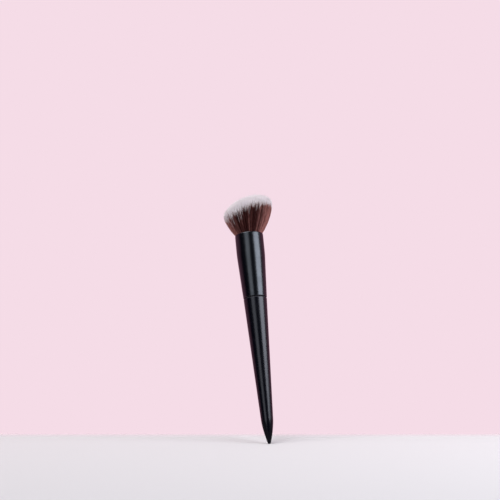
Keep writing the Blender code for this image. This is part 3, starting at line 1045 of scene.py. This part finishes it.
def add_camera(studio):
    """A level camera that looks along +Y of the room."""
    lens = bpy.data.cameras.new("camera")
    lens.lens = studio.lens
    lens.sensor_width = 36
    lens.clip_start = 0.01
    lens.clip_end = 20
    level = Matrix.Rotation(math.pi / 2, 4, "X")
    place = Matrix.Translation(studio.camera_place) @ level
    bpy.context.scene.camera = add_stage_object("camera", lens, place)


def paint_world(studio):
    """The backdrop as seen. Glossy things mirror a darker one with a dim studio in front of
    it, and the soft light comes mostly from behind, in the backdrop's colour."""
    world = bpy.data.worlds.new("studio")
    world.use_nodes = True
    bpy.context.scene.world = world
    world.node_tree.nodes.clear()
    add = functools.partial(add_node, world.node_tree)
    ray = add("LightPath").outputs
    away = (PART_FROM_ROOM @ Vector((0, 1, 0, 0))).to_3d()
    bearing = add("TexCoord").outputs["Generated"]
    behind = add("VectorMath", [bearing, away], operation="DOT_PRODUCT")
    backdrop_share = add(
        "MapRange",
        {"Value": behind.outputs["Value"], "From Min": -0.05, "From Max": 0.2},
        interpolation_type="SMOOTHSTEP",
    )
    mirrored = add("MixRGB", [backdrop_share, linear("#060c2c"), linear("#b27c94")])
    soft_tint = add("MixRGB", [backdrop_share, linear("#fbf9fb"), studio.backdrop])
    strengths = {"To Min": studio.ambient / 2, "To Max": studio.ambient * 2}
    soft_strength = add("MapRange", {"Value": backdrop_share, **strengths})
    seen = add("Background", {"Color": studio.backdrop})
    reflected = add("Background", {"Color": mirrored})
    soft_light = add("Background", {"Color": soft_tint, "Strength": soft_strength})
    through = add("Math", [ray["Is Glossy Ray"], ray["Is Transmission Ray"]], operation="MAXIMUM")
    lit = add("MixShader", [through, soft_light, reflected])
    shown = add("MixShader", [ray["Is Camera Ray"], lit, seen])
    add("OutputWorld", {"Surface": shown})


# Operators


class BRUSH_OT_handle(bpy.types.Operator):
    """Turn the lacquered wooden handle"""

    bl_idname = "blush_brush.handle"
    bl_label = "Handle"

    def execute(self, context):
        handle = context.scene.brush_handle
        lacquer = satin_lacquer(handle)
        turn("turned_handle", handle_outline(handle), lacquer, "black_lacquer", "handle")
        return {"FINISHED"}


class BRUSH_OT_ferrule(bpy.types.Operator):
    """Make the tapered, anodised ferrule"""

    bl_idname = "blush_brush.ferrule"
    bl_label = "Ferrule"

    def execute(self, context):
        ferrule = context.scene.brush_ferrule
        tube, metal = ferrule_outline(ferrule), anodised_aluminium(ferrule)
        turn("drawn_ferrule", tube, metal, "black_anodised", "ferrule", is_ring=True)
        return {"FINISHED"}


class BRUSH_OT_tuft(bpy.types.Operator):
    """Grow the two-tone hairs and the root that holds them"""

    bl_idname = "blush_brush.tuft"
    bl_label = "Tuft"

    def execute(self, context):
        tuft, ferrule = context.scene.brush_tuft, context.scene.brush_ferrule
        hairs = grow_hairs(tuft, ferrule)
        material = two_tone_hair(tuft)
        across = np.argsort(hairs[0][:, 1, 0], kind="stable")
        names = ("hair_low_side", "hair_middle_low", "hair_middle_high", "hair_high_side")
        for name, chosen in zip(names, np.array_split(across, len(names))):
            mesh = hair_mesh(name, *(values[chosen] for values in hairs), tuft.fibre_radius)
            add_piece(name, mesh, material, "two_tone_hair", "bristles")
        root = root_outline(tuft, ferrule)
        turn("tuft_root", root, potted_hair(tuft), "two_tone_hair", "bristles")
        return {"FINISHED"}


class BRUSH_OT_inside(bpy.types.Operator):
    """Finish the thread, the resin and the glue inside the ferrule"""

    bl_idname = "blush_brush.inside"
    bl_label = "Inside the Ferrule"

    def execute(self, context):
        inside = context.scene.brush_inside
        for node, material in (
            ("binding_thread", waxed_cotton(inside)),
            ("resin_plug", cast_epoxy(inside)),
            ("tenon_glue", wood_glue(inside)),
        ):
            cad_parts[node].data.materials.clear()
            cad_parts[node].data.materials.append(material)
        return {"FINISHED"}


class BRUSH_OT_studio(bpy.types.Operator):
    """Set up the floor, the backdrop, the lamps and the camera"""

    bl_idname = "blush_brush.studio"
    bl_label = "Studio"

    def execute(self, context):
        studio = context.scene.brush_studio
        context.scene.view_settings.view_transform = "Standard"
        paint_world(studio)
        add_floor(studio)
        powers = (studio.key_power, studio.fill_power, studio.top_power)
        for (name, softbox), power in zip(SOFTBOXES.items(), powers):
            add_softbox(name, power, *softbox)
        add_camera(studio)
        return {"FINISHED"}


class BRUSH_PT_sidebar(bpy.types.Panel):
    """Lists the brush's settings and the buttons that make its pieces"""

    bl_label = "Angled Blush Brush"
    bl_idname = "BRUSH_PT_sidebar"
    bl_space_type = "VIEW_3D"
    bl_region_type = "UI"
    bl_category = "Brush"

    def draw(self, context):
        for name, _, operator in STEPS:
            settings = getattr(context.scene, name)
            box = self.layout.box()
            for setting in settings.bl_rna.properties:
                if setting.identifier not in ("name", "rna_type"):
                    box.prop(settings, setting.identifier)
            box.operator(operator.bl_idname)


STEPS = (
    ("brush_handle", BRUSH_PG_handle, BRUSH_OT_handle),
    ("brush_ferrule", BRUSH_PG_ferrule, BRUSH_OT_ferrule),
    ("brush_tuft", BRUSH_PG_tuft, BRUSH_OT_tuft),
    ("brush_inside", BRUSH_PG_inside, BRUSH_OT_inside),
    ("brush_studio", BRUSH_PG_studio, BRUSH_OT_studio),
)


def register():
    for name, settings, operator in STEPS:
        bpy.utils.register_class(settings)
        setattr(bpy.types.Scene, name, bpy.props.PointerProperty(type=settings))
        bpy.utils.register_class(operator)
    bpy.utils.register_class(BRUSH_PT_sidebar)


def unregister():
    bpy.utils.unregister_class(BRUSH_PT_sidebar)
    for name, settings, operator in reversed(STEPS):
        bpy.utils.unregister_class(operator)
        delattr(bpy.types.Scene, name)
        bpy.utils.unregister_class(settings)


def main():
    register()
    bpy.ops.blush_brush.handle()
    bpy.ops.blush_brush.ferrule()
    bpy.ops.blush_brush.tuft()
    bpy.ops.blush_brush.inside()
    bpy.ops.blush_brush.studio()


if __name__ == "__main__":
    main()
